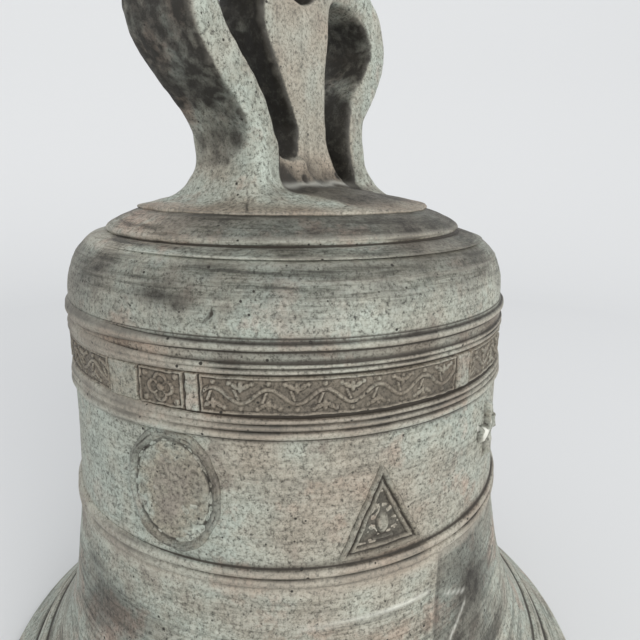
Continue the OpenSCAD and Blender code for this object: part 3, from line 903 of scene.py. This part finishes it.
def rosette(u, v):
    """Four-petalled flower in a square frame, with a bud in each corner."""
    turn = np.degrees(np.arctan2(v, u))
    r = np.hypot(u, v)
    petal = 3.4 + 1.5 * np.abs(np.cos(np.radians(2 * turn)))
    height = raised(np.abs(r - petal), 0.6)
    height = np.maximum(height, 1 - smooth_step(0.9, 1.8, r))
    height = np.maximum(height, raised(np.abs(np.abs(u) - np.abs(v)), 0.4) * (r > 1.8) * (r < 3.6))
    return np.maximum(height, 1 - smooth_step(0.6, 1.5, np.hypot(np.abs(u) - 6.4, np.abs(v) - 4.6)))


BAND_LOW, BAND_HIGH = 188.9, 203.5
BAND_R = 100.2
# Parts of the band as (kind, first and last azimuth), for half of the way round
BAND_PARTS = [("block", -41.1, -32.9), ("stamp", -32.4, -21.9), ("block", -21.4, -18.7),
              ("strip", -18.3, 37.2), ("block", 37.7, 42.3), ("strip", 42.8, 138.6)]


def frieze_height(az, z, points):
    """Height of the band's ornament in mm over its ground, and how dark it is."""
    height = np.full(az.shape, -0.45)
    v = z - 0.5 * (BAND_LOW + BAND_HIGH)
    shade = np.full(az.shape, 0.5)
    for kind, first, last in BAND_PARTS:
        for turn in (0, 180):
            middle = 0.5 * (first + last) + turn
            off = np.radians((az - middle + 180) % 360 - 180) * BAND_R
            half = math.radians(0.5 * (last - first)) * BAND_R
            edge = np.minimum(half - np.abs(off), 6.9 - np.abs(v)) + 0.3 * noise(points, 3, 51)
            inside = smooth_step(-0.2, 0.5, edge)
            if kind == "block":
                local = 0.75 + 0.2 * noise(points, 9, 52) + 0.12 * noise(points, 2, 53)
                ground = -0.1
            else:
                drawn = vine(off + half, v) if kind == "strip" else rosette(off, v)
                drawn = drawn * (0.75 + 0.35 * noise(points, 12, 54)) * (edge > 1.2)
                frame_line = raised(np.abs(edge - 0.5), 0.5)
                local = 0.85 * np.maximum(drawn, 0.8 * frame_line) + 0.14 * rough(points, 1.8, 2, 55) - 0.1
                ground = np.where(np.maximum(drawn, frame_line) > 0.4, 0.25, 0.75)
            height = np.where(edge > -0.4, np.maximum(height, -0.45 + inside * (0.45 + local)), height)
            shade = np.where(edge > 0.1, ground, shade)
    return height, shade


def frieze():
    """The ornament band as a closed ring, whose back is in the wall."""
    columns, rows = 1600, 44
    z = np.linspace(BAND_LOW - 0.8, BAND_HIGH + 0.8, rows)
    line = np.stack([np.full(rows, BAND_R), z], 1)
    back = np.array([[96.5, z[-1]], [96.5, z[0]]])
    points = revolve(np.concatenate([line, back]), columns)
    faces = grid_faces(rows + 2, columns, closed=True)
    outer = np.arange(len(points)) < rows * columns
    height, shade = frieze_height(azimuth(points), points[:, 2], points)
    fade = band(points[:, 2], BAND_LOW, BAND_HIGH, 0.5)
    out = points * [1, 1, 0] / np.linalg.norm(points[:, :2], axis=1)[:, None]
    move = np.where(outer, cast_wander(points) + height * fade - 1.2 * (1 - fade), cast_wander(points))
    points = points + out * move[:, None]
    piece = make_mesh("frieze_band", points, faces, FRIEZE_BRONZE)
    mark_hollows(piece, points, faces, 2, 0.28)
    masks = patina(points, faces, ornament=0.25)
    masks["soot"] = masks["soot"] + 0.55 * (shade - 0.32)
    masks["umber"] = masks["umber"] + 0.9 * (shade - 0.3)
    paint(piece, **masks)
    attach(piece, BELL)
    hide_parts("frieze_tiles")


def relief(name, node, az, z, half_u, half_v, step, shape):
    """Pair of wax reliefs on opposite sides of the wall, each a closed pad whose back is in the bronze."""
    count_u, count_v = int(2 * half_u / step), int(2 * half_v / step)
    u, v = np.meshgrid(np.linspace(-half_u, half_u, count_u), np.linspace(-half_v, half_v, count_v))
    u, v = u.ravel(), v.ravel()
    all_points, all_faces, all_shade = [], [], []
    grid = grid_faces(count_v, count_u, around=False)
    rim = np.concatenate([np.arange(count_u), np.arange(1, count_v) * count_u + count_u - 1,
                          (count_v - 1) * count_u + np.arange(count_u - 2, -1, -1),
                          np.arange(count_v - 2, 0, -1) * count_u])
    for turn in (0, 180):
        a = np.radians(az + turn + ORNAMENT_TURN + np.degrees(u / WAIST_TOP_R))
        base = plain_r(z + v)
        place = np.stack([base * np.sin(a), -base * np.cos(a), z + v], 1)
        height, shade = shape(u, v, place)
        r = base + cast_wander(place) + height
        top = np.stack([r * np.sin(a), -r * np.cos(a), z + v], 1)
        back_r = (base - 3)[rim]
        back = np.stack([back_r * np.sin(a[rim]), -back_r * np.cos(a[rim]), (z + v)[rim]], 1)
        first = sum(len(p) for p in all_points)
        ring = len(top) + np.arange(len(rim))
        skirt = np.stack([np.roll(rim, -1), rim, ring, np.roll(ring, -1)], 1)
        all_points += [top, back]
        all_faces += [grid + first, skirt + first]
        all_shade += [shade, np.zeros(len(back))]
    points, faces, shade = np.concatenate(all_points), np.concatenate(all_faces), np.concatenate(all_shade)
    piece = make_mesh(name, points, faces, FRIEZE_BRONZE)
    mark_hollows(piece, points, faces, 2, 0.28)
    masks = patina(points, faces, ornament=0.1)
    masks["soot"] = masks["soot"] + 0.85 * shade
    masks["bright"] = paint_specks(points) if node == "cross_relief" else np.zeros(len(points))
    paint(piece, **masks)
    close_back(piece)
    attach(piece, BELL)
    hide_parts(node)


def close_back(piece):
    """Fills the open backs of the pads."""
    mesh = bmesh.new()
    mesh.from_mesh(piece.data)
    bmesh.ops.holes_fill(mesh, edges=[e for e in mesh.edges if e.is_boundary], sides=0)
    mesh.to_mesh(piece.data)
    mesh.free()


def paint_specks(points):
    """Old drips of white paint."""
    return smooth_step(0.1, 0.3, noise(points, 3.6, 61)) * spot(points, 52, 165, 6, 7)


def oval_shape(u, v, place):
    """Worn oval medal: a ridged rim, and an inside rubbed past reading."""
    r = np.hypot(u / 19.4, v / 24.6)
    edge = (1 - r) * 21 + 0.6 * noise(place, 6, 71)
    rim = raised(np.abs(edge - 1.4), 1.3) * (0.8 + 0.4 * noise(place, 5, 74))
    field = 0.45 + 0.55 * rough(place, 6.5, 3, 72) + 0.4 * noise(place, 2.0, 73)
    groove = raised(np.abs(edge + 0.5), 0.8) + raised(np.abs(edge - 4.2), 0.7)
    height = np.where(edge > 2, field * 0.9, 0) + 1.3 * rim - 0.45 * groove
    inside = 0.2 - 0.5 * field + 0.45 * noise(place, 1.8, 77)
    shade = np.maximum(np.where(edge > 3.6, inside, 0.55), 0.95 * groove) * (edge > -0.8)
    return np.where(edge > -0.9, height, -1.2), shade


def triangle_shape(u, v, place):
    """Small plaque under a pointed gable: two raised borders round a drop-shaped bud."""
    tilt = math.radians(-1.5)
    u, v = u * math.cos(tilt) - v * math.sin(tilt), u * math.sin(tilt) + v * math.cos(tilt)
    to_side = ((18 - v) * 15.5 / 33 - np.abs(u)) * math.cos(math.atan2(15.5, 33))
    edge = np.minimum(to_side, v + 17.6) + 0.3 * noise(place, 4, 75)
    border = np.maximum(raised(np.abs(edge - 0.9), 0.95), 0.8 * raised(np.abs(edge - 3.4), 0.7))
    drop = np.hypot(u / 2.3, (v + 5.6) / 4.4) + 0.25 * np.clip((v + 4) / 3, 0, 2)
    bud = 1 - smooth_step(0.7, 1.2, drop)
    foot = raised(np.abs(v + 11.6), 0.6) * (np.abs(u) < 4)
    height = np.where(edge > 0, 0.05 + 0.2 * rough(place, 2, 2, 76), -0.2)
    height = height + 1.3 * np.maximum(np.maximum(border, bud), 0.7 * foot) * (edge > -0.6)
    dark = (edge > 0.2) * (0.95 - 0.75 * np.maximum(border, bud))
    return np.where(edge > -0.9, height, -1.2), dark


def cross_shape(u, v, place):
    """Small flared cross, worn and lumpy, on its wax pad."""
    def arm(p, q):
        return np.maximum(np.abs(q) - 1.9 - 0.18 * np.abs(p), np.abs(p) - 12)
    edge = -np.minimum(arm(u * 1.2, v), arm(v, u * 1.2)) + 0.5 * noise(place, 3, 81)
    height = 2.9 * smooth_step(-0.5, 1.5, edge) + 0.7 * noise(place, 2.5, 82) - 0.3
    return np.where(edge > -0.9, height, -1.2), np.clip(0.35 - 0.2 * edge, 0, 0.5)


frieze()
relief("medal_ovals", "oval_medallion", -25.7, 157.2, 21.2, 26, 0.42, oval_shape)
relief("gable_plaques", "triangle_plaquette", 18.2, 151, 17.5, 19.5, 0.36, triangle_shape)
relief("flared_crosses", "cross_relief", 55, 162.5, 12, 14, 0.33, cross_shape)

# ---------------------------------------------------------------- clapper, leather baldric and iron staple

IRON = wrought_iron("wrought_iron_hammered_rusted")
LEATHER = harness_leather("ox_leather_greased")
IRON_R = 6
HANGER_HALF = 22
LINK_H = 24


def hammered(points, facing, depth):
    """Flats and scale left by the hammer."""
    return points + facing * (depth * (noise(points, 7, 91) + 0.4 * noise(points, 2.2, 92)))[:, None]


def bent_bar(path, radius, sides, closed):
    """Round bar along a path in the XZ plane, with rounded ends when it is open."""
    way = np.roll(path, -1, 0) - np.roll(path, 1, 0) if closed else np.gradient(path, axis=0)
    way = way / np.linalg.norm(way, axis=1)[:, None]
    size = np.full(len(path), float(radius))
    if not closed:
        size[[0, -1]] = 0.01
        size[[1, -2]] = 0.8 * radius
    a = np.linspace(0, 2 * np.pi, sides, endpoint=False)
    across = np.stack([way[:, 1], 0 * way[:, 0], -way[:, 0]], 1)
    centre = np.stack([path[:, 0], 0 * path[:, 0], path[:, 1]], 1)
    ring = np.cos(a)[None, :, None] * across[:, None, :] + np.sin(a)[None, :, None] * np.array([0, 1, 0])
    points = (centre[:, None, :] + size[:, None, None] * ring).reshape(-1, 3)
    return points, grid_faces(len(path), sides, closed=closed)


def iron_piece(name, points, faces, body, slot, *nodes):
    """A hammered iron piece on its body, in place of its nodes."""
    facing = normals(points, faces)
    piece = make_mesh(name, hammered(points, facing, 0.22), faces, IRON)
    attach(piece, body)
    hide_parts(*nodes)


def staple():
    """U of round bar, cast into the head by both ends."""
    legs, bend = 24, 8
    left = arc(bend - legs, STAPLE_Z + bend, bend, bend, 180, 270, 12)
    right = arc(legs - bend, STAPLE_Z + bend, bend, bend, 270, 360, 12)
    line = np.vstack([[[-legs, 251]], left, right, [[legs, 251]]])
    points, faces = bent_bar(dense(line, 0.9), IRON_R, 32, closed=False)
    iron_piece("crown_staple_bar", points, faces, BELL, "staple_iron", "crown_staple")


def link():
    """Closed eye of round bar at the head of the clapper."""
    bend = 9
    low = HANGER_Z - LINK_H
    x0, z0, z1 = HANGER_HALF - bend, low + bend, HANGER_Z - bend
    corners = [(x0, z0, 270), (x0, z1, 0), (-x0, z1, 90), (-x0, z0, 180)]
    line = np.vstack([arc(x, z, bend, bend, first, first + 90, 14) for x, z, first in corners])
    line = dense(np.vstack([line, line[:1]]), 0.9)[:-1]
    points, faces = bent_bar(line, IRON_R, 32, closed=True)
    iron_piece("hanger_link", points, faces, CLAPPER, "clapper_iron", "hanger_eye")


def forged_clapper():
    """Neck, shank, ball and flight, forged in one."""
    ball = arc(0, BALL_Z, BALL_R, BALL_R, -54, 59, 40)
    flight = [[0.01, 4], [6.2, 4], [7.5, 5.2], [9, 8], [9, 11], [8.6, 14]]
    shank = [[9.2, 54.5], [8.8, 60], [8, 90], [7.3, 118], [8.2, 126], [8.8, 133], [6, 136], [0.01, 136.5]]
    line = np.vstack([flight, ball, shank])
    line = spread(dense(line, 0.4), 170, 0.5)
    points = revolve(line, 96)
    iron_piece("clapper_forging", points, grid_faces(len(line), 96), CLAPPER, "clapper_iron",
               "clapper_shank", "clapper_ball", "clapper_flight")


LEATHER_T = 4
LOOP_R = IRON_R + 0.3 + LEATHER_T / 2
STRAP_HALF = 12
LAP_LOW, LAP_HIGH = 166, 200


def strap_section(half_thick, half_wide, soft):
    """Outline of the leather's section as (out, across), with rounded edges."""
    a = np.radians(np.arange(0, 360, 22.5) + 11.25)
    corner = np.stack([np.sign(np.cos(a)) * (half_thick - soft) + soft * np.cos(a),
                       np.sign(np.sin(a)) * (half_wide - soft) + soft * np.sin(a)], 1)
    fill = np.linspace(-0.9, 0.9, 15)[:, None] * (half_wide - soft)
    side = np.hstack([np.full_like(fill, half_thick), fill])
    return np.vstack([corner[12:], side, corner[:4], corner[4:8], -side, corner[8:12]])


def leather_run(path, closed):
    """Strap of leather along a path in the YZ plane."""
    way = np.roll(path, -1, 0) - np.roll(path, 1, 0) if closed else np.gradient(path, axis=0)
    way = way / np.linalg.norm(way, axis=1)[:, None]
    out = np.stack([0 * way[:, 0], way[:, 1], -way[:, 0]], 1)
    section = strap_section(LEATHER_T / 2, STRAP_HALF, 1.1)
    centre = np.stack([0 * path[:, 0], path[:, 0], path[:, 1]], 1)
    points = centre[:, None, :] + section[None, :, 0, None] * out[:, None, :]
    points = points + section[None, :, 1, None] * np.array([1, 0, 0])
    return points.reshape(-1, 3), grid_faces(len(path), len(section), closed=closed)


def strap():
    """Leather loop from the staple to the clapper's eye, with its lap on the outside."""
    top = arc(0, STAPLE_Z, LOOP_R, LOOP_R, 0, 180, 30)
    foot = arc(0, HANGER_Z, LOOP_R, LOOP_R, 180, 360, 30)
    loop = dense(np.vstack([top, foot, top[:1]]), 0.8)[:-1]
    points, faces = leather_run(loop, closed=True)
    lap_y = LOOP_R + LEATHER_T
    lap = dense(np.array([[lap_y, LAP_LOW + 0.5], [lap_y, LAP_HIGH - 0.5]]), 0.8)
    lap_points, lap_faces = leather_run(lap, closed=False)
    all_faces = np.vstack([faces, lap_faces + len(points)])
    all_points = np.vstack([points, lap_points])
    facing = normals(all_points, all_faces)
    inner = np.hypot(all_points[:, 1], np.minimum(np.abs(all_points[:, 2] - STAPLE_Z),
                                                  np.abs(all_points[:, 2] - HANGER_Z))) < IRON_R + 1
    crease = 0.12 * rough(all_points, (9, 9, 4), 2, 95) - 0.06
    groove = -0.3 * np.exp(-((np.abs(all_points[:, 0]) - 9.6) / 0.5)**2)
    moved = all_points + facing * np.where(inner, 0, crease + groove)[:, None]
    piece = make_mesh("baldric_leather", moved, all_faces, LEATHER)
    close_back(piece)
    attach(piece, BALDRIC)
    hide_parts("baldric_strap")


staple()
link()
forged_clapper()
strap()
for name in ("lap_plate", "lap_bolts", "lap_nuts"):
    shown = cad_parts[name]
    shown.data.materials.clear()
    shown.data.materials.append(IRON)

pale_floor()
light_studio()
place_camera()
